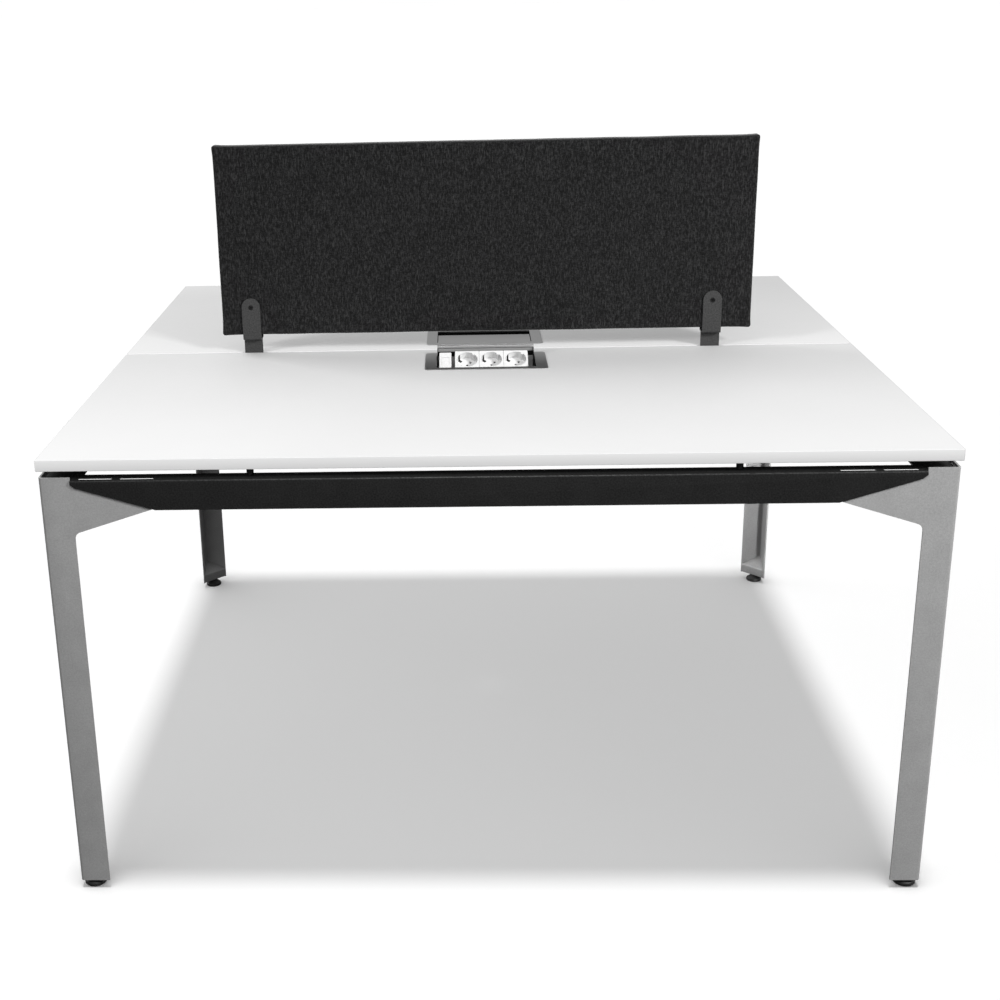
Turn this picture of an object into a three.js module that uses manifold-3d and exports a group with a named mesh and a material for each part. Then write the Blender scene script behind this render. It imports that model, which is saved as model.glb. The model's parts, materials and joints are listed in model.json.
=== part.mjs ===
// Benching desk for two users who face each other: a shared steel frame, two tops with a seam
// between them, a fabric screen over the seam, and a tilting power box in each top.
// Millimetres, +Z up, floor at z = 0. The seam runs along X at y = 0 and the front user sits at -Y.
import * as THREE from "three";
import { mergeVertices } from "three/addons/utils/BufferGeometryUtils.js";
import Module from "manifold-3d";

const wasm = await Module();
wasm.setup();

// Tops
const deskWidth = 1380;
const deskHeight = 750;
const topDepth = 650;
const topThickness = 18;
const topCornerRadius = 3;
const topEdgeRound = 1;

// Play between pieces that touch
const seatGap = 0.3;

// Screen and its straps
const screenLength = 994;
const screenHeight = 353;
const screenThickness = 25.4;
const screenRaise = 37;
const screenCornerRadius = 9;
const screenEdgeRound = 5;
const coverThickness = 3;
const hemSlit = 8;
const strapSheet = 2.5;
const strapWidth = 34.5;
const strapBend = 1.5;
const strapRise = 108;
const strapStep = 32;
const strapInset = 64;
const strapShift = -8.5;
const strapFoot = 34;
const seamPlay = 0.5;
const boltRise = 90;
const boltShank = 6;
const boltHead = 9.2;
const boltKey = 4;
const boltKeyDepth = 2;

// Beams
const beamInset = 0.5;
const beamSheet = 2;
const beamBend = 1;
const beamDrop = 33;
const beamHeight = 48.5;
const beamEndEdge = 10;
const beamEndChamfer = 7;
const beamTaperRun = 127;
const longBeamFlange = 29;
const endBeamFlange = 66;
const endBeamLip = 40;
const lipSetback = 130;
const slotLength = 52;
const slotWidth = 8;
const slotCorner = 1.5;
const slotSetback = 6;
const slotFromEnd = 11;
const slotPitch = 63.5;
const slotsPerEnd = 2;

// Legs
const legSheet = 3;
const legPlate = 48;
const legBend = 2;
const legRimDrop = 29;
const legLift = 14.3;
const kneeDrop = 120;
const kneeFillet = 12;
const gussetRise = 0.319;
const gussetReach = 185;
const gussetFlange = 9;

// Foot brackets and levelling feet
const bracketSheet = 2;
const bracketBend = 1;
const bracketStrip = 20.7;
const bracketPeak = 23;
const footSetback = 19.5;
const footRadius = 18;
const footSole = 16.5;
const footCrown = 12.5;
const studRadius = 4;
const studLength = 21;
const nutRadius = 5.9;
const nutHeight = 8;

// Spacers between the beams and the tops
const spacerRadius = 5.5;
const spacerPlace = 367.5;
const endSpacerPlace = 330;
const spacerFromStrap = 35.25;

// Trough under the seam
const troughHalfWidth = 22;
const troughDepth = 65;
const troughLip = 16;
const troughSheet = 2;
const troughBend = 2;
const windowLength = 110;
const windowHeight = 34;
const windowSill = 14;

// Power boxes: distances from the seam are taken towards the user
const bezelStart = 34;
const bezelDepth = 123;
const bezelWidth = 223;
const bezelCorner = 7;
const bezelProud = 1.2;
const bezelPlug = 1.8;
const screenRim = 15;
const userRim = 15;
const endRim = 20.5;
const housingSheet = 1.2;
const housingPlay = 0.5;
const cutoutPlay = 1;
const sweepPlay = 1;
const floorPlay = 7;
const outletLength = 60;
const outletWidth = 20;

// Tilting module: places are measured from its pivot, with the module open
const lidPlay = 1;
const lidEndPlay = 1.3;
const lidThickness = 3;
const lidTip = 42.1;
const lidTail = 19.2;
const lidEdgeRound = 0.8;
const lidPull = 2;
const lidPullHeight = 5;
const pivotOffset = 21.8;
const faceForward = 10.2;
const faceRise = 22.15;
const faceTilt = 28.7;
const cheekSheet = 1.5;
const railSheet = 1.5;
const railDrop = 2;
const railHeight = 10;
const pinRadius = 2.5;
const pinHeadRadius = 3.4;
const pinHeadLength = 1.6;
const pinReach = 3;
const pinPlay = 0.05;

// Sockets and data module
const modulePitch = 45;
const moduleLength = 45;
const moduleDepth = 17.5;
const moduleGap = 0.2;
const moduleCorner = 2;
const socketCount = 3;
const socketsStart = -57;
const cupRadius = 19.5;
const cupDepth = 15;
const cupTurn = 50;
const pinholeRadius = 2.6;
const pinholeSpread = 9.5;
const guideReach = 17.2;
const guideWidth = 5;
const clipReach = 23;
const clipWidth = 5.4;
const screwRadius = 2;
const screwSink = 1.2;
const dataWidth = 22.5;
const dataStart = -86;
const dataSink = 3;
const shutterWidth = 14;
const shutterHeight = 20;
const shutterSink = 1.2;

// Places worked out from the sizes above
const seamWidth = 2 * (strapSheet + seamPlay);
const halfWidth = deskWidth / 2;
const halfDepth = seamWidth / 2 + topDepth;
const topUnderside = deskHeight - topThickness;
const beamTop = deskHeight - beamDrop;
const beamBottom = beamTop - beamHeight;
const legInset = beamInset + beamSheet + seatGap;
const longBeamHalf = halfWidth - legInset - legPlate - seatGap;
const endBeamHalf = halfDepth - legInset - legPlate - seatGap;
const endBeamInside = halfWidth - beamInset - endBeamFlange;
const screenBottom = deskHeight + screenRaise;
const boltHeight = deskHeight + boltRise;
const strapPlace = screenLength / 2 - strapInset;
const strapFace = screenThickness / 2 + seatGap;
const pivotFromSeam = bezelStart + screenRim + lidPlay + pivotOffset;
const openingHalf = bezelWidth / 2 - endRim;
const housingHalf = openingHalf + housingPlay;
const housingStart = pivotFromSeam - Math.hypot(pivotOffset, lidTail) - sweepPlay;
const housingEnd = bezelStart + bezelDepth - userRim + housingPlay;
const faceRun = moduleLength / 2 + moduleGap + railSheet;
const faceSlope = THREE.MathUtils.degToRad(faceTilt);
const moduleReach = faceForward + faceRun * Math.cos(faceSlope);
const housingDepth = pivotOffset + moduleReach + floorPlay;
const moduleHalf = openingHalf - lidEndPlay;

// Facets on a round stretch
const arcSteps = 3;
const roundSides = 20;
const fineSides = 24;
const boltSides = 16;
const pinholeSides = 8;

// Finishes
const finishes = {
  laminate: { color: 0xf1f1ee, roughness: 0.45, metalness: 0 },
  silverCoat: { color: 0xa6a7a6, roughness: 0.5, metalness: 0.2 },
  darkCoat: { color: 0x26282b, roughness: 0.5, metalness: 0.1 },
  strapCoat: { color: 0x55575a, roughness: 0.5, metalness: 0.2 },
  fabric: { color: 0x2b2c2f, roughness: 0.95, metalness: 0 },
  board: { color: 0xb89a72, roughness: 0.8, metalness: 0 },
  aluminium: { color: 0x8f9092, roughness: 0.38, metalness: 0.8 },
  blackSteel: { color: 0x111214, roughness: 0.6, metalness: 0.1 },
  whitePlastic: { color: 0xf2f2f0, roughness: 0.35, metalness: 0 },
  blackPlastic: { color: 0x0d0d0e, roughness: 0.55, metalness: 0 },
  zincSteel: { color: 0x9a9a98, roughness: 0.4, metalness: 0.9 },
};

// A closed geometry as a solid that can be joined and cut.
function solidOf(geometry) {
  geometry.deleteAttribute("normal");
  geometry.deleteAttribute("uv");
  const merged = mergeVertices(geometry, 1e-4);
  const corners = merged.index.array;
  const kept = [];
  for (let i = 0; i < corners.length; i += 3) {
    const [a, b, c] = corners.slice(i, i + 3);
    if (a !== b && b !== c && c !== a) kept.push(a, b, c);
  }
  const mesh = new wasm.Mesh({
    numProp: 3,
    vertProperties: merged.attributes.position.array,
    triVerts: new Uint32Array(kept),
  });
  return new wasm.Manifold(mesh);
}

// A solid's surface as geometry.
function geometryOf(solid) {
  const { vertProperties, triVerts } = solid.getMesh();
  const geometry = new THREE.BufferGeometry();
  geometry.setAttribute("position", new THREE.BufferAttribute(vertProperties, 3));
  geometry.setIndex(new THREE.BufferAttribute(triVerts, 1));
  geometry.computeVertexNormals();
  return geometry;
}

// Geometry drawn in a plane and raised along Z, turned so that it is raised along the named axis:
// a plane is (y, z) for X, (x, z) for Y and (x, y) for Z.
function alongAxis(geometry, axis, low, high) {
  if (axis === "x") {
    const turn = new THREE.Matrix4().set(0, 0, 1, low, 1, 0, 0, 0, 0, 1, 0, 0, 0, 0, 0, 1);
    return geometry.applyMatrix4(turn);
  }
  if (axis === "y") return geometry.rotateX(Math.PI / 2).translate(0, high, 0);
  return geometry.translate(0, 0, low);
}

// A flat outline raised from low to high along an axis.
function extruded(shape, axis, low, high) {
  const options = { depth: high - low, bevelEnabled: false, curveSegments: arcSteps };
  return solidOf(alongAxis(new THREE.ExtrudeGeometry(shape, options), axis, low, high));
}

// The same with its rims rounded over.
function softened(shape, axis, low, high, radius) {
  const options = {
    depth: high - low - 2 * radius,
    bevelThickness: radius,
    bevelSize: radius,
    bevelOffset: -radius,
    bevelSegments: arcSteps,
    curveSegments: arcSteps,
  };
  const geometry = new THREE.ExtrudeGeometry(shape, options);
  return solidOf(alongAxis(geometry.translate(0, 0, radius), axis, low, high));
}

// A box between two corners.
function block([x0, y0, z0], [x1, y1, z1]) {
  const geometry = new THREE.BoxGeometry(x1 - x0, y1 - y0, z1 - z0);
  return solidOf(geometry.translate((x0 + x1) / 2, (y0 + y1) / 2, (z0 + z1) / 2));
}

// A profile of [radius, height] points turned about Z.
function revolved(profile, sides = roundSides) {
  const points = profile.map(([radius, height]) => new THREE.Vector2(radius, height));
  return solidOf(new THREE.LatheGeometry(points, sides).rotateX(Math.PI / 2));
}

// A round bar along an axis through a centre given in that axis's plane.
function bar(axis, [u, v], radius, low, high, sides = roundSides) {
  const geometry = new THREE.CylinderGeometry(radius, radius, high - low, sides);
  geometry.rotateX(Math.PI / 2).translate(u, v, (high - low) / 2);
  return solidOf(alongAxis(geometry, axis, low, high));
}

// A closed outline through [u, v, radius] corners, rounded where a radius is given.
function outline(corners) {
  const shape = new THREE.Shape();
  const at = (i) => new THREE.Vector2(...corners.at(i % corners.length).slice(0, 2));
  corners.forEach(([u, v, radius = 0], i) => {
    const move = i ? "lineTo" : "moveTo";
    if (!radius) {
      shape[move](u, v);
      return;
    }
    const corner = at(i);
    const back = at(i - 1).sub(corner).normalize();
    const ahead = at(i + 1).sub(corner).normalize();
    const half = Math.acos(back.dot(ahead)) / 2;
    const start = corner.clone().addScaledVector(back, radius / Math.tan(half));
    const end = corner.clone().addScaledVector(ahead, radius / Math.tan(half));
    const inward = back.clone().add(ahead).normalize();
    const centre = corner.clone().addScaledVector(inward, radius / Math.sin(half));
    const from = start.clone().sub(centre).angle();
    const to = end.clone().sub(centre).angle();
    shape[move](start.x, start.y);
    shape.absarc(centre.x, centre.y, radius, from, to, back.cross(ahead) > 0);
  });
  return shape;
}

// A rectangle with rounded corners.
function rectangle(u0, u1, v0, v1, radius = 0) {
  return outline([
    [u0, v0, radius],
    [u1, v0, radius],
    [u1, v1, radius],
    [u0, v1, radius],
  ]);
}

// The section of a folded sheet: its one face follows a line of points, and the sheet lies on the
// right of that line. Folds are rounded.
function folded(line, sheet, bend) {
  const points = line.map(([u, v]) => new THREE.Vector2(u, v));
  const ways = points.slice(1).map((p, i) => p.clone().sub(points[i]).normalize());
  const near = [];
  const far = [];
  points.forEach((p, i) => {
    const into = ways[Math.max(i - 1, 0)];
    const out = ways[Math.min(i, ways.length - 1)];
    const turn = into.cross(out);
    const side = new THREE.Vector2(into.y + out.y, -into.x - out.x);
    const other = p.clone().addScaledVector(side, sheet / (1 + into.dot(out)));
    const [nearRadius, farRadius] = turn > 0 ? [bend, bend + sheet] : [bend + sheet, bend];
    const round = Math.abs(turn) > 1e-6;
    near.push([p.x, p.y, round ? nearRadius : 0]);
    far.unshift([other.x, other.y, round ? farRadius : 0]);
  });
  return outline([...near, ...far]);
}

// A solid mirrored in the diagonal plane x = y.
function mirrored(solid) {
  const swapped = new THREE.Matrix4().set(0, 1, 0, 0, 1, 0, 0, 0, 0, 0, 1, 0, 0, 0, 0, 1);
  const geometry = geometryOf(solid).applyMatrix4(swapped);
  geometry.setIndex([...geometry.index.array].reverse());
  return solidOf(geometry);
}

const desk = new THREE.Group();

function add(name, solid, finish, parent = desk) {
  const mesh = new THREE.Mesh(geometryOf(solid), new THREE.MeshStandardMaterial(finishes[finish]));
  mesh.name = name;
  parent.add(mesh);
}

function placed(x, y, z, quarterTurns = 0, parent = desk) {
  const group = new THREE.Group();
  group.position.set(x, y, z);
  group.rotation.z = (quarterTurns * Math.PI) / 2;
  parent.add(group);
  return group;
}

// Top of the front user, with its cut-out for the power box; the rear top is the same, turned round.
function top() {
  const shape = rectangle(-halfWidth, halfWidth, -halfDepth, -seamWidth / 2, topCornerRadius);
  const board = softened(shape, "z", topUnderside, deskHeight, topEdgeRound);
  const wall = housingSheet + cutoutPlay;
  const low = [-housingHalf - wall, -housingEnd - wall, topUnderside - 1];
  const high = [housingHalf + wall, -housingStart + wall, deskHeight + 1];
  return board.subtract(block(low, high));
}

// One leg about its outer corner: an L of folded sheet. Each plate widens into a gusset whose top is
// folded inwards under the flange of a beam.
function leg() {
  const section = folded([[legPlate, 0], [0, 0], [0, legPlate]], legSheet, legBend);
  const post = extruded(section, "z", legLift, deskHeight - legRimDrop);
  const knee = deskHeight - kneeDrop;
  const under = beamTop - beamSheet - seatGap;
  const root = legPlate / 2;
  const foot = knee - 2 * kneeFillet;
  const gusset = outline([
    [root, foot],
    [legPlate, foot],
    [legPlate, knee, kneeFillet],
    [gussetReach, knee + (gussetReach - legPlate) * gussetRise],
    [gussetReach, under],
    [legPlate, under],
    [legPlate, under - legBend - legSheet],
    [root, under - legBend - legSheet],
  ]);
  const fold = folded([[0, foot], [0, under], [gussetFlange, under]], legSheet, legBend);
  const outlined = extruded(gusset, "y", -1, gussetFlange + 1);
  const wing = extruded(fold, "x", root, gussetReach).intersect(outlined);
  return post.add(wing).add(mirrored(wing));
}

// Foot bracket about the leg's outer corner, drawn along the diagonal of the corner: a folded strip
// with a floor, an upright that closes the corner and a sloped top.
function footBracket() {
  const inside = (legSheet + seatGap) * Math.SQRT2;
  const face = (legPlate + legSheet) / Math.SQRT2 - seatGap;
  const upright = legLift + bracketStrip;
  const rise = bracketPeak / (face - inside);
  const line = [[0, legLift], [face, legLift], [face, upright], [0, upright + face * rise]];
  const sheet = folded(line.reverse(), bracketSheet, bracketBend);
  const tip = inside + legBend;
  const end = 2 * face;
  const corner = outline([[tip, -legBend], [end, inside - end], [end, end - inside], [tip, legBend]]);
  const strip = extruded(sheet, "y", -end, end);
  const trimmed = strip.intersect(extruded(corner, "z", 0, deskHeight));
  const hub = [footSetback * Math.SQRT2, 0];
  const floor = legLift + bracketSheet;
  const nut = bar("z", hub, nutRadius, floor - bracketSheet / 2, floor + nutHeight, 6);
  return trimmed.add(nut).subtract(bar("z", hub, studRadius + seatGap, 0, floor + 2 * nutHeight));
}

// Levelling foot: a moulded sole with a rounded crown and a steel stud.
function levellingFoot() {
  return revolved([
    [0, 0],
    [footSole, 0],
    [footRadius, footRadius - footSole],
    [footRadius, footCrown / 3],
    [(footRadius + footSole) / 2, footCrown / 2],
    [footRadius / 2, footCrown],
    [studRadius, footCrown],
    [studRadius, footCrown + studLength],
    [0, footCrown + studLength],
  ]);
}

// Beam along X about the middle of its outer face, with inward as +Y: an upright face whose ends
// taper off and a flange at the top, which may end in a lip.
function beam(half, flange, lip) {
  const line = [[0, beamBottom], [0, beamTop], [flange, beamTop]];
  if (lip) line.push([flange, beamTop - lip]);
  const sheet = extruded(folded(line, beamSheet, beamBend), "x", -half, half);
  const slope = (beamHeight - beamEndEdge) / beamTaperRun;
  const waste = outline([
    [half, beamTop - beamEndEdge + beamEndChamfer / 2],
    [half - beamEndChamfer, beamTop - beamEndEdge - beamEndChamfer * slope],
    [half - beamTaperRun, beamBottom],
    [half - beamTaperRun, beamBottom - 1],
    [half + 1, beamBottom - 1],
    [half + 1, beamTop - beamEndEdge + beamEndChamfer / 2],
  ]);
  const right = extruded(waste, "y", -1, beamSheet + beamBend);
  const left = solidOf(geometryOf(right).rotateZ(Math.PI).translate(0, beamSheet, 0));
  return sheet.subtract(right).subtract(left);
}

// Long beam with fixing slots near both ends of its flange.
function longBeam() {
  let solid = beam(longBeamHalf, longBeamFlange, 0);
  const low = slotSetback;
  for (let i = 0; i < slotsPerEnd; i += 1) {
    for (const side of [-1, 1]) {
      const far = longBeamHalf - slotFromEnd - i * slotPitch;
      const [from, to] = [side * far, side * (far - slotLength)].sort((a, b) => a - b);
      const shape = rectangle(from, to, low, low + slotWidth, slotCorner);
      solid = solid.subtract(extruded(shape, "z", beamTop - 2 * beamSheet, beamTop + 1));
    }
  }
  return solid;
}

// End beam: a channel whose lip stops short of its ends, and whose flange goes on past them, up to
// the long beams, with tongues that reach into the legs.
function endBeam() {
  let solid = beam(endBeamHalf, endBeamFlange, endBeamLip);
  const lipEnd = endBeamHalf - lipSetback;
  const lipFace = endBeamFlange - beamSheet - beamBend;
  for (const side of [-1, 1]) {
    const [near, far] = [side * lipEnd, side * (endBeamHalf + 1)].sort((a, b) => a - b);
    const low = [near, lipFace - 1, beamTop - endBeamLip - 1];
    solid = solid.subtract(block(low, [far, endBeamFlange + 1, beamTop - beamSheet]));
  }
  const inside = legInset + legSheet + legBend + seatGap - beamInset;
  const beside = legInset + legPlate - beamInset - seatGap;
  const tongue = halfDepth - legInset - legSheet - seatGap;
  const apron = halfDepth - beamInset - longBeamFlange - seatGap;
  for (const [reach, width] of [[tongue, beside], [apron, endBeamFlange]]) {
    for (const side of [-1, 1]) {
      const [near, far] = [side * (endBeamHalf - 1), side * reach].sort((a, b) => a - b);
      solid = solid.add(block([near, inside, beamTop - beamSheet], [far, width, beamTop]));
    }
  }
  return solid;
}

// Spacer disc between a flange and a top, about its own axis.
function spacer() {
  return bar("z", [0, 0], spacerRadius, beamTop + seatGap, topUnderside - seatGap);
}

// Trough under the seam: a hat section with closed ends and a cable window in each wall.
function trough() {
  const half = endBeamInside - seatGap;
  const floor = beamTop - troughDepth;
  const lip = troughHalfWidth + troughLip;
  const line = [
    [-lip, beamTop],
    [-troughHalfWidth, beamTop],
    [-troughHalfWidth, floor],
    [troughHalfWidth, floor],
    [troughHalfWidth, beamTop],
    [lip, beamTop],
  ];
  let solid = extruded(folded(line, troughSheet, troughBend), "x", -half, half);
  const wall = troughHalfWidth + troughSheet / 2;
  for (const side of [-1, 1]) {
    const [near, far] = [side * (half - troughSheet), side * half].sort((a, b) => a - b);
    const top = beamTop - troughSheet - troughBend;
    solid = solid.add(block([near, -wall, floor - troughSheet / 2], [far, wall, top]));
  }
  const sill = floor + windowSill;
  const low = [-windowLength / 2, -2 * wall, sill];
  const high = [windowLength / 2, 2 * wall, sill + windowHeight];
  return solid.subtract(block(low, high));
}

// Screen board, with holes for its bolts.
function screenCore() {
  const inset = coverThickness + seatGap;
  const halfLength = screenLength / 2 - inset;
  const halfBoard = screenThickness / 2 - inset;
  const low = [-halfLength, -halfBoard, screenBottom + inset];
  const high = [halfLength, halfBoard, screenBottom + screenHeight - inset];
  return block(low, high).subtract(screenHoles());
}

// Fabric cover: a soft-edged sleeve round the board, with a slit between its hems underneath.
function screenCover() {
  const halfLength = screenLength / 2;
  const shape = rectangle(
    -halfLength,
    halfLength,
    screenBottom,
    screenBottom + screenHeight,
    screenCornerRadius,
  );
  const half = screenThickness / 2;
  const sleeve = softened(shape, "y", -half, half, screenEdgeRound);
  const low = [coverThickness - halfLength, coverThickness - half, screenBottom + coverThickness];
  const high = [-low[0], -low[1], screenBottom + screenHeight - coverThickness];
  const slitLow = [low[0], -hemSlit / 2, screenBottom - 1];
  const slit = block(slitLow, [high[0], hemSlit / 2, low[2] + 1]);
  return sleeve.subtract(block(low, high)).subtract(slit).subtract(screenHoles());
}

function screenHoles() {
  const hole = (side) => {
    const radius = boltShank / 2 + seatGap;
    const place = [side * strapPlace + strapShift, boltHeight];
    return bar("y", place, radius, -screenThickness, screenThickness);
  };
  return hole(-1).add(hole(1));
}

// Front strap about its own middle: a foot on the trough, an upright in the seam, a step under the
// screen and a tab with a round head and a countersunk hole.
function strap() {
  const near = -seamPlay / 2;
  const foot = beamTop + seatGap;
  const step = deskHeight + strapStep;
  const head = deskHeight + strapRise;
  const line = [
    [near - strapSheet - strapFoot, foot],
    [near, foot],
    [near, step - strapSheet],
    [-strapFace, step - strapSheet],
    [-strapFace, head],
  ];
  const bent = folded(line.reverse(), strapSheet, strapBend);
  const half = strapWidth / 2;
  const strip = extruded(bent, "x", -half, half);
  const front = outline([
    [-half, foot - 1],
    [half, foot - 1],
    [half, head, half - 0.01],
    [-half, head, half - 0.01],
  ]);
  const reach = strapFoot + strapFace + strapSheet;
  const sink = countersunk(seatGap).intersect(block([-half, -2 * reach, 0], [half, 0, 2 * head]));
  return strip.intersect(extruded(front, "y", -reach, 0)).subtract(sink);
}

// The bolt's outline along Y with some play all round: a shank with a cone at each end.
function countersunk(play) {
  const shank = boltShank / 2 + play;
  const head = boltHead / 2 + play;
  const end = strapFace + strapSheet;
  const solid = revolved([
    [0, -end - play],
    [head, -end - play],
    [head, -end + strapSheet / 4],
    [shank, -strapFace],
    [shank, strapFace],
    [head, end - strapSheet / 4],
    [head, end + play],
    [0, end + play],
  ], boltSides);
  return solidOf(geometryOf(solid).rotateX(Math.PI / 2).translate(0, 0, boltHeight));
}

// Through bolt of the screen, with a hexagon key recess in each head.
function screenBolt() {
  const end = strapFace + strapSheet;
  const key = bar("y", [0, boltHeight], boltKey / 2, -2 * end, boltKeyDepth - end, 6);
  const farKey = bar("y", [0, boltHeight], boltKey / 2, end - boltKeyDepth, 2 * end, 6);
  return countersunk(0).subtract(key).subtract(farKey);
}

// Bezel of a power box: a rounded plate on the top and a plug that centres it in the cut-out.
function bezel() {
  const half = bezelWidth / 2;
  const end = bezelStart + bezelDepth;
  const plate = extruded(rectangle(-half, half, -end, -bezelStart, bezelCorner), "z", 0, bezelProud);
  const wall = housingSheet + cutoutPlay / 2;
  const low = [-housingHalf - wall, -housingEnd - wall, -bezelPlug];
  const plug = block(low, [housingHalf + wall, wall - housingStart, bezelProud / 2]);
  const open = [openingHalf, -bezelStart - screenRim, 2 * bezelProud];
  return plate.add(plug).subtract(block([-openingHalf, userRim - end, -2 * bezelPlug], open));
}

// Housing under the bezel: an open-topped sheet box with a cable outlet in its floor.
function housing() {
  const rim = -bezelPlug - seatGap;
  const wall = housingSheet;
  const low = [-housingHalf - wall, -housingEnd - wall, -housingDepth - wall];
  const outer = block(low, [housingHalf + wall, wall - housingStart, rim]);
  const inner = block([-housingHalf, -housingEnd, -housingDepth], [housingHalf, -housingStart, 1]);
  const outletEnd = -housingStart - housingPlay;
  const outlet = block(
    [-outletLength / 2, outletEnd - outletWidth, low[2] - 1],
    [outletLength / 2, outletEnd, 1 - housingDepth],
  );
  const holes = bar("x", [-pivotFromSeam, -pivotOffset], pinRadius + pinPlay, 2 * low[0], -2 * low[0]);
  return outer.subtract(inner).subtract(outlet).subtract(holes);
}

// Pivot pin along X: its head sits outside the housing's right wall and its shank carries a cheek.
function pivot() {
  const head = housingHalf + housingSheet + seatGap;
  const tip = moduleHalf - cheekSheet - pinReach;
  const shank = bar("x", [0, 0], pinRadius, tip, head + pinHeadLength / 2);
  return shank.add(bar("x", [0, 0], pinHeadRadius, head, head + pinHeadLength));
}

// Lid of the tilting module, upright behind the sockets, with a finger pull along its free edge.
function lid() {
  const back = pivotOffset;
  const front = back - lidThickness;
  const shape = outline([
    [back, -lidTail, lidEdgeRound],
    [back, lidTip, lidEdgeRound],
    [front - lidPull, lidTip, lidEdgeRound],
    [front - lidPull, lidTip - lidPullHeight, lidEdgeRound],
    [front, lidTip - lidPullHeight],
    [front, -lidTail, lidEdgeRound],
  ]);
  return extruded(shape, "x", -moduleHalf, moduleHalf);
}

// A point on the socket face, by its way up the slope and its height over the face.
function onFace(up, over) {
  const y = -faceForward + up * Math.cos(faceSlope) - over * Math.sin(faceSlope);
  return [y, faceRise + up * Math.sin(faceSlope) + over * Math.cos(faceSlope)];
}

// Socket carrier: two cheeks on the pivots, joined by a rail above and one below the sockets.
function carrier() {
  const back = pivotOffset - lidThickness - seatGap;
  const pivotRound = 3 * pinRadius;
  const cheek = outline([
    [back, -lidTail],
    [back, lidTip - lidPullHeight - seatGap],
    onFace(faceRun, -railDrop / 2),
    onFace(-faceRun, -railDrop / 2),
    [...onFace(-faceRun, -railDrop - railHeight), pivotRound],
    [-pivotRound, -pivotRound, pivotRound],
    [back / 2, -lidTail],
  ]);
  const right = extruded(cheek, "x", moduleHalf - cheekSheet, moduleHalf);
  const left = extruded(cheek, "x", -moduleHalf, cheekSheet - moduleHalf);
  const rail = (side) => {
    const [outer, inner] = [side * faceRun, side * (faceRun - railSheet)];
    const low = -railDrop - railHeight;
    const shape = outline([
      onFace(outer, low),
      onFace(inner, low),
      onFace(inner, -railDrop),
      onFace(outer, -railDrop),
    ]);
    return extruded(shape, "x", cheekSheet / 2 - moduleHalf, moduleHalf - cheekSheet / 2);
  };
  const holes = bar("x", [0, 0], pinRadius + pinPlay, -2 * moduleHalf, 2 * moduleHalf);
  return right.add(left).add(rail(1)).add(rail(-1)).subtract(holes);
}

// Earthed socket about the middle of its face: a square body with a round cup that is turned about
// its axis. Pin holes and guide ribs lie along one line, the pockets of the earth clips across it.
function socket() {
  const half = modulePitch / 2 - moduleGap;
  const run = moduleLength / 2;
  const body = extruded(rectangle(-half, half, -run, run, moduleCorner), "z", -moduleDepth, 0);
  let cup = bar("z", [0, 0], cupRadius, -cupDepth, 1, fineSides);
  cup = cup.add(bar("z", [0, 0], screwRadius, -cupDepth - screwSink, 0, pinholeSides));
  const [guide, clip] = [guideWidth / 2, clipWidth / 2];
  cup = cup.add(block([-clip, -clipReach, -cupDepth], [clip, clipReach, -cupDepth / 8]));
  for (const way of [-1, 1]) {
    const [near, far] = [way * guideReach, way * 2 * cupRadius].sort((a, b) => a - b);
    cup = cup.subtract(block([near, -guide, -2 * cupDepth], [far, guide, 0]));
    const place = [way * pinholeSpread, 0];
    cup = cup.add(bar("z", place, pinholeRadius, -2 * moduleDepth, 0, pinholeSides));
  }
  const turn = THREE.MathUtils.degToRad(cupTurn);
  return body.subtract(solidOf(geometryOf(cup).rotateZ(turn)));
}

// Half-width data module: a plain body with a sunk shutter over its port.
function dataModule() {
  const half = dataWidth / 2 - moduleGap;
  const run = moduleLength / 2;
  const body = extruded(rectangle(-half, half, -run, run, moduleCorner), "z", dataSink - moduleDepth, 0);
  const low = [-shutterWidth / 2, -shutterHeight / 2, -shutterSink];
  return body.subtract(block(low, [shutterWidth / 2, shutterHeight / 2, 1]));
}

// A whole power box for one user. Its module stands open, or lies closed after a quarter turn.
function addPowerBox(user, quarterTurns, closed) {
  const box = placed(0, 0, deskHeight, quarterTurns);
  add(`${user}_bezel`, bezel(), "aluminium", box);
  add(`${user}_housing`, housing(), "blackSteel", box);
  const axle = placed(0, -pivotFromSeam, -pivotOffset, 0, box);
  add(`${user}_pivot_right`, pivot(), "zincSteel", axle);
  add(`${user}_pivot_left`, pivot(), "zincSteel", placed(0, 0, 0, 2, axle));
  const module = placed(0, 0, 0, 0, axle);
  module.rotation.x = closed ? Math.PI / 2 : 0;
  add(`${user}_lid`, lid(), "aluminium", module);
  add(`${user}_socket_carrier`, carrier(), "blackSteel", module);
  const [faceY, faceZ] = onFace(0, 0);
  const face = placed(0, faceY, faceZ, 0, module);
  face.rotation.x = faceSlope;
  for (let i = 0; i < socketCount; i += 1) {
    const middle = socketsStart + (i + 0.5) * modulePitch;
    add(`${user}_socket_${i + 1}`, socket(), "whitePlastic", placed(middle, 0, 0, 0, face));
  }
  const port = placed(dataStart + dataWidth / 2, 0, -dataSink, 0, face);
  add(`${user}_data_module`, dataModule(), "whitePlastic", port);
}

// Tops
add("front_top", top(), "laminate");
add("rear_top", top(), "laminate", placed(0, 0, 0, 2));

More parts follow.
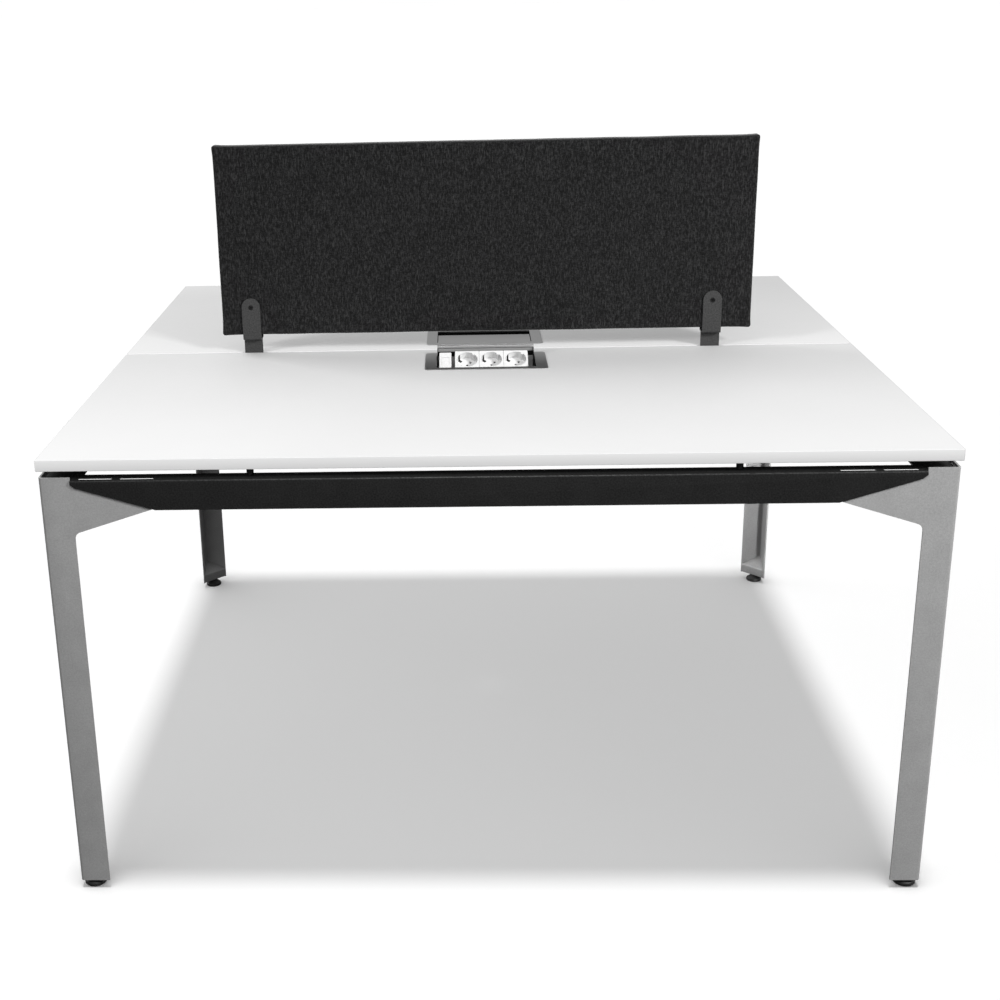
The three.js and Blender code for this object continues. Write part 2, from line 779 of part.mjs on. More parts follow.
// Legs with their brackets and feet, corner by corner
const cornerX = halfWidth - legInset;
const cornerY = halfDepth - legInset;
const corners = [
  ["front_left", -1, -1],
  ["front_right", 1, -1],
  ["rear_right", 1, 1],
  ["rear_left", -1, 1],
];
corners.forEach(([name, sideX, sideY], quarter) => {
  const corner = placed(sideX * cornerX, sideY * cornerY, 0, quarter);
  add(`leg_${name}`, leg(), "silverCoat", corner);
  add(`foot_bracket_${name}`, footBracket(), "silverCoat", placed(0, 0, 0, 0.5, corner));
  const foot = placed(footSetback, footSetback, 0, 0, corner);
  add(`levelling_foot_${name}`, levellingFoot(), "blackPlastic", foot);
});

// Beams and trough
add("front_beam", longBeam(), "darkCoat", placed(0, beamInset - halfDepth, 0));
add("rear_beam", longBeam(), "darkCoat", placed(0, halfDepth - beamInset, 0, 2));
add("left_end_beam", endBeam(), "darkCoat", placed(beamInset - halfWidth, 0, 0, -1));
add("right_end_beam", endBeam(), "darkCoat", placed(halfWidth - beamInset, 0, 0, 1));
add("centre_trough", trough(), "darkCoat");

// Spacers, three pairs under each top
const outerLine = halfDepth - beamInset - longBeamFlange + spacerRadius;
const innerLine = troughHalfWidth + troughLip / 2;
const innerPlace = strapPlace - strapWidth / 2 - spacerFromStrap - spacerRadius;
const endLine = endBeamInside + spacerRadius;
for (const [user, way] of [["front", -1], ["rear", 1]]) {
  for (const [hand, side] of [["left", -1], ["right", 1]]) {
    const outer = placed(side * spacerPlace, way * outerLine, 0);
    const inner = placed(side * innerPlace + strapShift, way * innerLine, 0);
    const end = placed(side * endLine, way * endSpacerPlace, 0);
    add(`spacer_${user}_outer_${hand}`, spacer(), "blackPlastic", outer);
    add(`spacer_${user}_inner_${hand}`, spacer(), "blackPlastic", inner);
    add(`spacer_${user}_end_${hand}`, spacer(), "blackPlastic", end);
  }
}

// Screen with its straps and bolts
add("screen_core", screenCore(), "board");
add("screen_cover", screenCover(), "fabric");
for (const [hand, side] of [["left", -1], ["right", 1]]) {
  const place = side * strapPlace + strapShift;
  add(`strap_front_${hand}`, strap(), "strapCoat", placed(place, 0, 0));
  add(`strap_rear_${hand}`, strap(), "strapCoat", placed(place, 0, 0, 2));
  add(`screen_bolt_${hand}`, screenBolt(), "blackSteel", placed(place, 0, 0));
}

// Power boxes: the front user's stands open, the rear user's is shut
addPowerBox("front", 0, false);
addPowerBox("rear", 2, true);

export default desk;
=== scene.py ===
"""Looks of a benching desk for two: finishes for its frame, its upholstered screen and its small fittings."""
import json
import math

import bmesh
import bpy
from mathutils import Matrix, Vector, noise


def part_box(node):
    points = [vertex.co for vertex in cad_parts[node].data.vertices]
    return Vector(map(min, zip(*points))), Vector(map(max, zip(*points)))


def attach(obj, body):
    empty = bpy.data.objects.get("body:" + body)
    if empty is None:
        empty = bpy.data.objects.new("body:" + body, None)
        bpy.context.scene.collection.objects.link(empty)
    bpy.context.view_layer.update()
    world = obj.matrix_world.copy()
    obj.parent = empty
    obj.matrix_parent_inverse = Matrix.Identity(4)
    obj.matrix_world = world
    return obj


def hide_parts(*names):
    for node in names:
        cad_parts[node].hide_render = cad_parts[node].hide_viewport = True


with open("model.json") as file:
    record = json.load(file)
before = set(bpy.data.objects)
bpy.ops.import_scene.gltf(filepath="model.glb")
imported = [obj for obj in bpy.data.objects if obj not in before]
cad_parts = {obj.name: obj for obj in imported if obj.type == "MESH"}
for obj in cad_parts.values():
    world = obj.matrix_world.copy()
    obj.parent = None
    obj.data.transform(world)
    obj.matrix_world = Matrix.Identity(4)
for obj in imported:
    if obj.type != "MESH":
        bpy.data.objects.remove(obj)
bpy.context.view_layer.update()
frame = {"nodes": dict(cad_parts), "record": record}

MM = 0.001
USERS = ("front", "rear")
HANDS = ("left", "right")

# Edges of sheet and moulded pieces
WELD_GAP = 0.005 * MM
SMOOTH_ANGLE = math.radians(32)
EDGE_ROUND = {
    "silver_coat": 0.35 * MM,
    "dark_coat": 0.3 * MM,
    "strap_coat": 0.35 * MM,
    "aluminium": 0.3 * MM,
    "white_plastic": 0.35 * MM,
}

# Screen
SCREEN_CORNER = 6 * MM
SCREEN_EDGE = 5 * MM
SCREEN_CROWN = 0.5 * MM
SCREEN_EAR = 2.2 * MM
SCREEN_EAR_REACH = 11 * MM
SCREEN_WAVE = 0.5 * MM
SCREEN_WAVE_LENGTH = 70 * MM
SCREEN_CROWN_POWER = 4
SCREEN_WAVE_POWER = 24
SCREEN_EAR_RISE = 0.9
SCREEN_STEP = 7 * MM

# Camera, as read from the photograph's perspective: image sizes are in pixels of its 1000 by 1000 frame
IMAGE_SIDE = 1000
FOCAL_PIXELS = 1457.1
VANISHING_CENTRE = (398.6, 464.4)
SENSOR = 36.0
CAMERA_PLACE = Vector((-0.0492, -2.7085, 1.4225))
CAMERA_YAW = 0.0447
CAMERA_PITCH = -0.3215
CAMERA_ROLL = 0.0263

# Tops, in millimetres from the desk's middle
TOP_END = 690
TOP_FAR = 653
TOP_NEAR = 3
EDGE_BAND = 2
EDGE_JOINT = 0.12

# Sockets and data modules, about the middle of a face
FACE_TILT = math.radians(28.7)
SOCKETS = (1, 2, 3)
SOCKET_DEPTH = 17.5 * MM
DATA_DEPTH = 14.5 * MM
CUP_TURN = math.radians(50)
CLIP_WIDTH = 1.6 * MM
CLIP_SHEET = 0.5 * MM
CLIP_LINE = (
    (22.2, -14.9),
    (22.1, -10.4),
    (21.4, -7.2),
    (20.3, -5.2),
    (20.1, -4.2),
    (20.6, -3.2),
    (21.8, -2.6),
)
# Painted shade in the sockets: black sheets that line the clip pockets and lie on the cup floors, where the
# recesses are in shadow.
POCKET_SHADE_LINE = ((19.9, -2.6), (22.85, -2.6), (22.85, 2.6), (19.9, 2.6))
POCKET_SHADE_WIDTH = 14 * MM
POCKET_SHADE_SEAT = -7.6 * MM
SHADE_SHEET_THICKNESS = 0.1 * MM
CUP_FLOOR_SHADE_LINE = ((13.4, -14.9), (22.8, -14.9))
CUP_FLOOR_SHADE_WIDTH = 5.2 * MM
SCREW_SEAT = -16.2 * MM
SCREW_HEAD = (1.8 * MM, 0.8 * MM, 0.8 * MM)
SHUTTER_SEAT = -1.2 * MM
SHUTTER_HALF = (6.7 * MM, 9.7 * MM)
SHUTTER_SHEET = 0.9 * MM
SHUTTER_CORNER = 0.8 * MM
SHUTTER_CHAMFER = 0.2 * MM
SHUTTER_RIBS = (-5.4 * MM, -3.6 * MM, -1.8 * MM)
RIB_HALF = (4.2 * MM, 0.45 * MM)
RIB_CORNER = 0.4 * MM
RIB_RISE = 0.45 * MM
END_CLIP_WIDTH = 3.2 * MM
END_CLIP_RISE = 9 * MM
END_CLIP_LINE = ((32.4, -9), (32.4, -2.9), (31.6, -2.1), (24.2, -2.1), (23.6, -2.6))

# Bolts and screws: heads are a radius, a height and half the width of the key recess
HEAD_SIDES = 24
HEAD_PROFILE = ((1.0, 0.0), (1.0, 0.4), (0.93, 0.72), (0.8, 0.93), (0.66, 1.0))
RECESS_LEVELS = (1.0, 0.4)
BUTTON_HEAD = (5.2 * MM, 2.8 * MM, 2 * MM)
PAN_HEAD = (4.2 * MM, 2.4 * MM, 1.6 * MM)
FLANGE_UNDERSIDE = 715 * MM
LEG_INSIDE = Vector((684.2, 647.2)) * MM
BEAM_ENDS = Vector((638.9, 601.9)) * MM
BOLTS_FROM_END = (39 * MM, 89 * MM)
BOLT_LEVEL = 703.5 * MM
STRAP_BOLT_LINE = 30 * MM
TROUGH_END = 625.5 * MM
TROUGH_BOLTS = ((-11, 693), (11, 693))

# Studio: light levels are shares of white, heights of light are sines, and lamps are a place, side and power
FLOOR_HALF = 90
BACKDROP_RADIUS = 80
BACKDROP_HEIGHT = 80
BACKDROP_SIDES = 64
OVERHEAD_LIGHT = 0.46
OVERHEAD_SPREAD = math.radians(7)
OVERHEAD_LEAN = math.radians(2)
LIGHT_BELOW = 0.05
LIGHT_LOW = 0.2
LIGHT_ROUND = 0.75
LIGHT_ABOVE = 0.48
LIGHT_LEAN = (-0.4, -0.12, 0)
FLOOR_LINE = -0.02
BAND_START = 0.12
BAND_FULL = 0.3
BAND_TOP = 0.66
BAND_FADE = 0.76
LIT_PLACE = Vector((0, -0.4, 0.72))
SIDE_BOX = ((3.6, -2.3, 2.9), 0.6, 260)
FRONT_BOX = ((0, -1.9, 2.1), 0.8, 28)
LOW_BOX = ((-0.15, 0.6, 0.3), 0.06, 2.3)
FOOT_BOX = ((0.96, -0.55, 0.3), 0.12, 0.92)
FOOT_SPREAD = math.radians(60)
LOW_PLACE = Vector((0.66, 0.63, 0.25))
RIGHT_BOX = ((3.23, -3.75, 3.47), 1.0, 180)
LEFT_BOX = ((-4.83, -3.55, 2.8), 1.0, 158)
BACK_BOX = ((-4.72, 1.77, 4.35), 2.1, 115)
FLOOR_FILL = ((0, 0, 0.6), 1.6, 3.1)


class Finish:
    """A material built as a node graph round one shader. Textures are laid out in millimetres."""

    def __init__(self, name, **sockets):
        self.material = bpy.data.materials.new(name)
        self.material.use_nodes = True
        self.tree = self.material.node_tree
        self.shader = self.tree.nodes["Principled BSDF"]
        self.set(self.shader, sockets)

    def set(self, node, sockets):
        for name, value in sockets.items():
            socket = node.inputs[name] if isinstance(name, int) else node.inputs[name.replace("_", " ")]
            if isinstance(value, bpy.types.NodeSocket):
                self.tree.links.new(value, socket)
            else:
                socket.default_value = value

    def node(self, kind, sockets=None, **settings):
        made = self.tree.nodes.new("ShaderNode" + kind)
        for name, value in settings.items():
            setattr(made, name, value)
        self.set(made, sockets or {})
        return made

    def space(self, stretch=(1, 1, 1)):
        """Coordinates in millimetres, divided by a stretch along each axis."""
        own = self.node("TexCoord").outputs["Object"]
        scale = tuple(1 / (MM * s) for s in stretch)
        return self.node("Mapping", {"Vector": own, "Scale": scale}).outputs["Vector"]

    def noise(self, size, stretch=(1, 1, 1), detail=2.0):
        sockets = {"Vector": self.space(stretch), "Scale": 1 / size, "Detail": detail}
        return self.node("TexNoise", sockets).outputs["Fac"]

    def cells(self, size, stretch=(1, 1, 1), output="Color"):
        sockets = {"Vector": self.space(stretch), "Scale": 1 / size}
        return self.node("TexVoronoi", sockets).outputs[output]

    def math(self, operation, *values):
        return self.node("Math", dict(enumerate(values)), operation=operation).outputs["Value"]

    def spread(self, factor, low, high, start=0.3, stop=0.7):
        sockets = {"Value": factor, "From_Min": start, "From_Max": stop, "To_Min": low, "To_Max": high}
        return self.node("MapRange", sockets).outputs["Result"]

    def blend(self, factor, first, second):
        made = self.node("Mix", {0: factor, 6: first, 7: second}, data_type="RGBA")
        return made.outputs[2]

    def bump(self, height, depth, under=None):
        sockets = {"Height": height, "Distance": depth}
        if under is not None:
            sockets["Normal"] = under
        return self.node("Bump", sockets).outputs["Normal"]

    def drive(self, **sockets):
        self.set(self.shader, sockets)
        return self.material


def grey(level, tint=(1, 1, 1)):
    return tuple(level * t for t in tint) + (1.0,)


def laminate():
    """White satin laminate: fine pearl texture, faint clouds and an edge band behind a hairline joint."""
    finish = Finish("top_laminate", Specular_IOR_Level=0.15)
    clouds = finish.noise(260, detail=3)
    colour = finish.blend(finish.spread(clouds, 0, 1), grey(0.735), grey(0.75))
    spot = finish.node("SeparateXYZ", {"Vector": finish.space()})
    across = finish.math("ABSOLUTE", spot.outputs["X"])
    along = finish.math("ABSOLUTE", spot.outputs["Y"])
    from_user = finish.math("SUBTRACT", TOP_FAR, along)
    from_seam = finish.math("SUBTRACT", along, TOP_NEAR)
    sides = finish.math("MINIMUM", from_user, from_seam)
    inward = finish.math("MINIMUM", finish.math("SUBTRACT", TOP_END, across), sides)
    colour = finish.blend(finish.math("LESS_THAN", inward, EDGE_BAND), colour, grey(0.76))
    colour = finish.blend(finish.math("LESS_THAN", along, TOP_NEAR + EDGE_BAND), colour, grey(0.74))
    joint = finish.math("COMPARE", inward, EDGE_BAND, EDGE_JOINT)
    colour = finish.blend(joint, colour, grey(0.45))
    pearl = finish.noise(0.9, detail=3)
    rough = finish.spread(finish.noise(14), 0.5, 0.6)
    return finish.drive(Base_Color=colour, Roughness=rough, Normal=finish.bump(pearl, 0.03 * MM))


def powder_coat(name, dark, light, roughness, metallic=0.0, flake=0.0, shine=0.5):
    """Powder coat: fine orange peel, a slight clouding and, where wanted, metal flake."""
    finish = Finish(name, Metallic=metallic)
    colour = finish.blend(finish.spread(finish.noise(35, detail=4), 0, 1), grey(dark), grey(light))
    if flake:
        speck = finish.spread(finish.cells(0.35), 0, flake, 0.2, 0.9)
        colour = finish.blend(speck, colour, grey(min(1.0, 2 * light)))
    mottle = finish.spread(finish.noise(2.6, detail=1), 0.0, 0.3)
    colour = finish.blend(mottle, colour, grey(0.45 * dark))
    peel = finish.bump(finish.noise(1.1, detail=2), 0.05 * MM)
    grain = finish.bump(finish.noise(0.25, detail=1), 0.012 * MM, peel)
    rough = finish.spread(finish.noise(4), roughness - 0.05, roughness + 0.05)
    gloss = finish.spread(finish.noise(2.6, detail=1), 0.3 * shine, 1.7 * shine)
    return finish.drive(Base_Color=colour, Roughness=rough, Specular_IOR_Level=gloss, Normal=grain)


def fabric():
    """Charcoal melange weave with upright threads of mixed greys."""
    finish = Finish("screen_fabric", Sheen_Weight=0.15, Sheen_Roughness=0.5, Specular_IOR_Level=0.1)
    streaks = finish.noise(2.0, stretch=(1, 1, 3.2), detail=1)
    picks = finish.noise(1.9, stretch=(2.6, 2.6, 1), detail=1)
    fibres = finish.noise(1.3, stretch=(1, 1, 1.6), detail=1)
    threads = finish.math("ADD", finish.math("MULTIPLY", streaks, 0.42), finish.math("MULTIPLY", picks, 0.28))
    melange = finish.math("ADD", threads, finish.math("MULTIPLY", fibres, 0.3))
    lit = finish.math("POWER", finish.spread(melange, 0, 1, 0.4, 0.64), 1.5)
    colour = finish.blend(lit, grey(0.001, (1, 1, 1.05)), grey(0.0195, (1, 1, 1.03)))
    slubs = finish.spread(finish.noise(1.7, stretch=(1, 1, 5), detail=0), 0, 0.5, 0.62, 0.78)
    colour = finish.blend(slubs, colour, grey(0.036))
    separate = finish.node("SeparateXYZ", {"Vector": finish.space()})
    closing = finish.math("ABSOLUTE", separate.outputs["Y"])
    colour = finish.blend(finish.spread(closing, 0.7, 0, 0.3, 1.1), colour, grey(0.002))
    across = finish.math("ADD", separate.outputs["X"], separate.outputs["Y"])
    warp = finish.math("ABSOLUTE", finish.math("SINE", finish.math("MULTIPLY", across, math.pi / 1.3)))
    weft = finish.math("SINE", finish.math("MULTIPLY", separate.outputs["Z"], math.tau / 1.1))
    weave = finish.math("ADD", warp, finish.math("MULTIPLY", weft, 0.35))
    rib = finish.bump(weave, 0.12 * MM)
    fuzz = finish.bump(fibres, 0.15 * MM, rib)
    groove = finish.bump(finish.spread(closing, 0, 1, 0.2, 1.4), 0.6 * MM, fuzz)
    return finish.drive(Base_Color=colour, Roughness=finish.spread(fibres, 0.85, 1.0), Normal=groove)


def anodised():
    """Satin anodised aluminium, drawn along its length, with painted shade: faces turned down or toward the
    user are darker and less metallic.
    """
    finish = Finish("aluminium")
    lines = finish.noise(0.5, stretch=(60, 1, 1), detail=3)
    facing = finish.node("SeparateXYZ", {"Vector": finish.node("TexCoord").outputs["Normal"]})
    # Painted shade by facing: faces turned down or toward the user get a darker, half-metallic copy of the
    # finish.
    inner = finish.math("LESS_THAN", finish.math("MINIMUM", facing.outputs["Y"], facing.outputs["Z"]), -0.7)
    colour = finish.blend(finish.spread(lines, 0, 1), grey(0.39), grey(0.43))
    colour = finish.blend(inner, colour, finish.blend(finish.spread(lines, 0, 1), grey(0.34), grey(0.38)))
    metal = finish.spread(inner, 1, 0.5, 0, 1)
    rough = finish.spread(lines, 0.34, 0.44)
    drawn = finish.bump(lines, 0.008 * MM)
    return finish.drive(Base_Color=colour, Metallic=metal, Roughness=rough, Normal=drawn)


def moulding(name, dark, light, roughness, grain):
    """Moulded plastic with a fine spark-eroded grain."""
    finish = Finish(name)
    colour = finish.blend(finish.spread(finish.noise(6), 0, 1), grey(dark), grey(light))
    rough = finish.spread(finish.noise(2), roughness - 0.06, roughness + 0.06)
    return finish.drive(Base_Color=colour, Roughness=rough, Normal=finish.bump(finish.noise(0.4), grain))


def zinc():
    """Zinc plate with a faint spangle."""
    finish = Finish("zinc_steel", Metallic=1.0)
    spangle = finish.cells(1.8)
    colour = finish.blend(spangle, grey(0.42, (1, 1, 0.97)), grey(0.62, (1, 1, 1.02)))
    return finish.drive(Base_Color=colour, Roughness=finish.spread(finish.noise(1.5), 0.28, 0.42))


def raw_board():
    """Raw chipboard: flat chips of mixed browns."""
    finish = Finish("screen_board", Specular_IOR_Level=0.2)
    chips = finish.cells(3, stretch=(1, 0.5, 0.5))
    colour = finish.blend(finish.spread(chips, 0, 1, 0, 1), (0.30, 0.20, 0.11, 1), (0.55, 0.42, 0.27, 1))
    height = finish.bump(finish.noise(1.5), 0.2 * MM)
    return finish.drive(Base_Color=colour, Roughness=finish.spread(chips, 0.75, 0.95), Normal=height)


finishes = {
    "top_laminate": laminate(),
    "silver_coat": powder_coat("silver_coat", 0.33, 0.37, 0.42, metallic=0.3, flake=0.25),
    "dark_coat": powder_coat("dark_coat", 0.009, 0.012, 0.45, shine=0.25),
    "strap_coat": powder_coat("strap_coat", 0.029, 0.034, 0.5, shine=0.35),
    "screen_fabric": fabric(),
    "screen_board": raw_board(),
    "aluminium": anodised(),
    "black_steel": powder_coat("black_steel", 0.003, 0.004, 0.5, shine=0.25),
    "white_plastic": moulding("white_plastic", 0.59, 0.61, 0.3, 0.008 * MM),
    "black_plastic": moulding("black_plastic", 0.006, 0.009, 0.5, 0.03 * MM),
    "zinc_steel": zinc(),
}


def smoothing():
    """A modifier group that welds a mesh and keeps only its real edges sharp."""
    group = bpy.data.node_groups.new("weld_and_smooth", "GeometryNodeTree")
    for way in ("INPUT", "OUTPUT"):
        group.interface.new_socket("Geometry", in_out=way, socket_type="NodeSocketGeometry")
    make, link = group.nodes.new, group.links.new
    source, target = make("NodeGroupInput"), make("NodeGroupOutput")
    weld = make("GeometryNodeMergeByDistance")
    weld.inputs["Distance"].default_value = WELD_GAP
    angle = make("GeometryNodeInputMeshEdgeAngle")
    sharp = make("FunctionNodeCompare")
    sharp.operation = "GREATER_THAN"
    sharp.inputs["B"].default_value = SMOOTH_ANGLE
    normals = make("GeometryNodeSetMeshNormal")
    normals.mode = "SHARPNESS"
    normals.inputs["Remove Custom"].default_value = True
    link(angle.outputs["Unsigned Angle"], sharp.inputs["A"])
    link(sharp.outputs["Result"], normals.inputs["Edge Sharpness"])
    link(source.outputs[0], weld.inputs["Geometry"])
    link(weld.outputs["Geometry"], normals.inputs["Mesh"])
    link(normals.outputs["Mesh"], target.inputs[0])
    return group


def dress_frame():
    """Give every node its finish, and soften the edges of those that have them."""
    group = smoothing()
    for part in frame["record"]["subparts"]:
        node, slot = frame["nodes"][part["node"]], part["material_slot"]
        node.data.materials.clear()
        node.data.materials.append(finishes[slot])
        node.modifiers.new("smooth", "NODES").node_group = group
        if slot in EDGE_ROUND:
            bevel = node.modifiers.new("edge", "BEVEL")
            bevel.width = EDGE_ROUND[slot]
            bevel.segments = 2
            bevel.limit_method = "ANGLE"
            bevel.angle_limit = SMOOTH_ANGLE
            bevel.harden_normals = True


def new_piece(name, mesh, slot, body):
    """A finished mesh as a piece that moves with a body."""
    made = bpy.data.meshes.new(name)
    mesh.to_mesh(made)
    mesh.free()
    made.shade_smooth()
    made.set_sharp_from_angle(angle=SMOOTH_ANGLE)
    made.materials.append(finishes[slot])
    piece = bpy.data.objects.new(name, made)
    bpy.context.scene.collection.objects.link(piece)
    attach(piece, body)
    return piece


def lattice_box(stations):
    """A closed box of quads through the stations given along each axis."""
    mesh = bmesh.new()
    points = {}

    def at(key):
        if key not in points:
            points[key] = mesh.verts.new([axis[i] for axis, i in zip(stations, key)])
        return points[key]

    last = [len(axis) - 1 for axis in stations]
    for axis in range(3):
        first, second = (axis + 1) % 3, (axis + 2) % 3
        for level in (0, last[axis]):
            for i in range(last[first]):
                for j in range(last[second]):
                    corners = [(i, j), (i + 1, j), (i + 1, j + 1), (i, j + 1)]
                    keys = []
                    for u, v in corners if level else corners[::-1]:
                        key = [0, 0, 0]
                        key[axis], key[first], key[second] = level, u, v
                        keys.append(tuple(key))
                    mesh.faces.new([at(key) for key in keys])
    return mesh


def edge_stations(half, margin, step):
    """Stations from -half to half: close together within a margin of the ends, then a step apart."""
    inner = half - margin
    count = max(1, round(2 * inner / step))
    middle = [-inner + 2 * inner * i / count for i in range(count + 1)]
    ends = [inner + margin * share for share in (0.2, 0.4, 0.6, 0.8, 1.0)]
    return [-e for e in reversed(ends)] + middle + ends


def rounded_square(u, v):
    """A point of the unit square moved into the unit disc, edge to rim."""
    return u * math.sqrt(1 - v * v / 2), v * math.sqrt(1 - u * u / 2)


def past(value, inner, margin):
    """How far a coordinate reaches into the margin beyond an inner size, from 0 to 1."""
    return max(0.0, (abs(value) - inner) / margin)


def screen_panel():
    """The upholstered screen: taut fabric over a board, with soft edges and slightly eared corners."""
    low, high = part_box("screen_cover")
    centre, half = (low + high) / 2, (high - low) / 2
    stations = [
        edge_stations(half.x, SCREEN_CORNER, SCREEN_STEP),
        edge_stations(half.y, SCREEN_EDGE, SCREEN_STEP),
        edge_stations(half.z, SCREEN_CORNER, SCREEN_STEP),
    ]
    mesh = lattice_box(stations)
    inner = [half.x - SCREEN_CORNER, half.y - SCREEN_EDGE, half.z - SCREEN_CORNER]
    for vert in mesh.verts:
        x, y, z = vert.co
        u, v = past(x, inner[0], SCREEN_CORNER), past(z, inner[2], SCREEN_CORNER)
        side = max(u, v)
        u, v = rounded_square(u, v)
        rim = max(0.0, 1 - (1 - side) * SCREEN_CORNER / SCREEN_EDGE)
        lift = past(y, inner[1], SCREEN_EDGE)
        drawn, raised = rounded_square(rim, lift)
        length = math.hypot(u, v)
        pull = (rim - drawn) * SCREEN_EDGE / SCREEN_CORNER / length if length > 0 else 0.0
        u, v = u * (1 - pull), v * (1 - pull)
        flat = Vector((x, y, z))
        if past(x, inner[0], SCREEN_CORNER) > 0:
            flat.x = math.copysign(inner[0] + u * SCREEN_CORNER, x)
        if past(z, inner[2], SCREEN_CORNER) > 0:
            flat.z = math.copysign(inner[2] + v * SCREEN_CORNER, z)
        if lift > 0:
            flat.y = math.copysign(inner[1] + raised * SCREEN_EDGE, y)
        vert.co = flat + softness(flat, half) + centre
    piece = new_piece("screen_panel", mesh, "screen_fabric", "desk")
    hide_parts("screen_cover")


def softness(point, half):
    """How far the fabric gives at a point of the screen: a slight crown, eared corners and wavy edges."""
    across, up = point.x / half.x, point.z / half.z
    spread = (1 - across ** SCREEN_CROWN_POWER) * (1 - up ** SCREEN_CROWN_POWER)
    crown = SCREEN_CROWN * spread * point.y / half.y
    reach = Vector((half.x - abs(point.x), half.z - abs(point.z)))
    ear = SCREEN_EAR * math.exp(-reach.length / SCREEN_EAR_REACH)
    edge = max(abs(across), abs(up)) ** SCREEN_WAVE_POWER
    wave = SCREEN_WAVE * edge * noise.noise(point / SCREEN_WAVE_LENGTH)
    return Vector((
        math.copysign(ear, across) + wave * across,
        crown,
        math.copysign(SCREEN_EAR_RISE * ear, up) + wave * up,
    ))


def skin(mesh, rings):
    """Close a run of point rings into a solid: quads between them and a face over each end."""
    rows = [[mesh.verts.new(point) for point in ring] for ring in rings]
    count = len(rows[0])
    for row, above in zip(rows, rows[1:]):
        for i in range(count):
            mesh.faces.new((row[i], row[(i + 1) % count], above[(i + 1) % count], above[i]))
    mesh.faces.new(rows[0][::-1])
    mesh.faces.new(rows[-1])


def ribbon(mesh, place, line, width, sheet):
    """A bent strip: the line runs in the place's yz plane, in millimetres, and the width lies along x."""
    points = [Vector(point) * MM for point in line]
    rings = []
    for i, point in enumerate(points):
        along = (points[min(i + 1, len(points) - 1)] - points[max(i - 1, 0)]).normalized()
        out = Vector((-along.y, along.x)) * sheet / 2
        corners = [
            (-width / 2, point - out),
            (width / 2, point - out),
            (width / 2, point + out),
            (-width / 2, point + out),
        ]
        rings.append([place @ Vector((x, spot.x, spot.y)) for x, spot in corners])
    skin(mesh, rings)


def bolt_head(mesh, place, size):
    """A round head with a hexagon recess: its seat lies on the place and its crown points along z."""
    radius, height, key = size
    angles = [math.tau * i / HEAD_SIDES for i in range(HEAD_SIDES)]
    rings = [[(share * radius, angle, rise * height) for angle in angles] for share, rise in HEAD_PROFILE]
    flat, half_flat = math.pi / 3, math.pi / 6
    recess = [key / math.cos((angle + half_flat) % flat - half_flat) for angle in angles]
    for rise in RECESS_LEVELS:
        rings.append([(reach, angle, rise * height) for reach, angle in zip(recess, angles)])
    points = []
    for ring in rings:
        points.append([place @ Vector((r * math.cos(a), r * math.sin(a), z)) for r, a, z in ring])
    skin(mesh, points)


def rounded_outline(half, radius):
    """Points round a rectangle with rounded corners."""
    points = []
    for corner in range(4):
        way = Vector(((1, 1), (-1, 1), (-1, -1), (1, -1))[corner])
        middle = Vector((way.x * (half[0] - radius), way.y * (half[1] - radius)))
        for step in range(5):
            angle = math.pi / 2 * (corner + step / 4)
            points.append(middle + Vector((math.cos(angle), math.sin(angle))) * radius)
    return points


def plate(mesh, place, half, radius, sheet, chamfer):
    """A plate with rounded corners and a chamfer round its upper face."""
    inner = (half[0] - chamfer, half[1] - chamfer)
    levels = ((half, radius, 0.0), (half, radius, sheet - chamfer), (inner, radius - chamfer, sheet))
    skin(mesh, [[place @ Vector((point.x, point.y, z)) for point in rounded_outline(size, corner)]
                for size, corner, z in levels])


def face_frame(user, node, depth):
    """The middle of a module's face: x along the row, y up the slope and z out of the face."""
    low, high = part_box(node)
    turn = Matrix.Rotation(FACE_TILT, 4, "X")
    if user == "rear":
        turn = Matrix.Rotation(math.pi, 4, "Z") @ Matrix.Rotation(math.pi / 2, 4, "X") @ turn
    return Matrix.Translation((low + high) / 2 + turn.to_3x3() @ Vector((0, 0, depth / 2))) @ turn


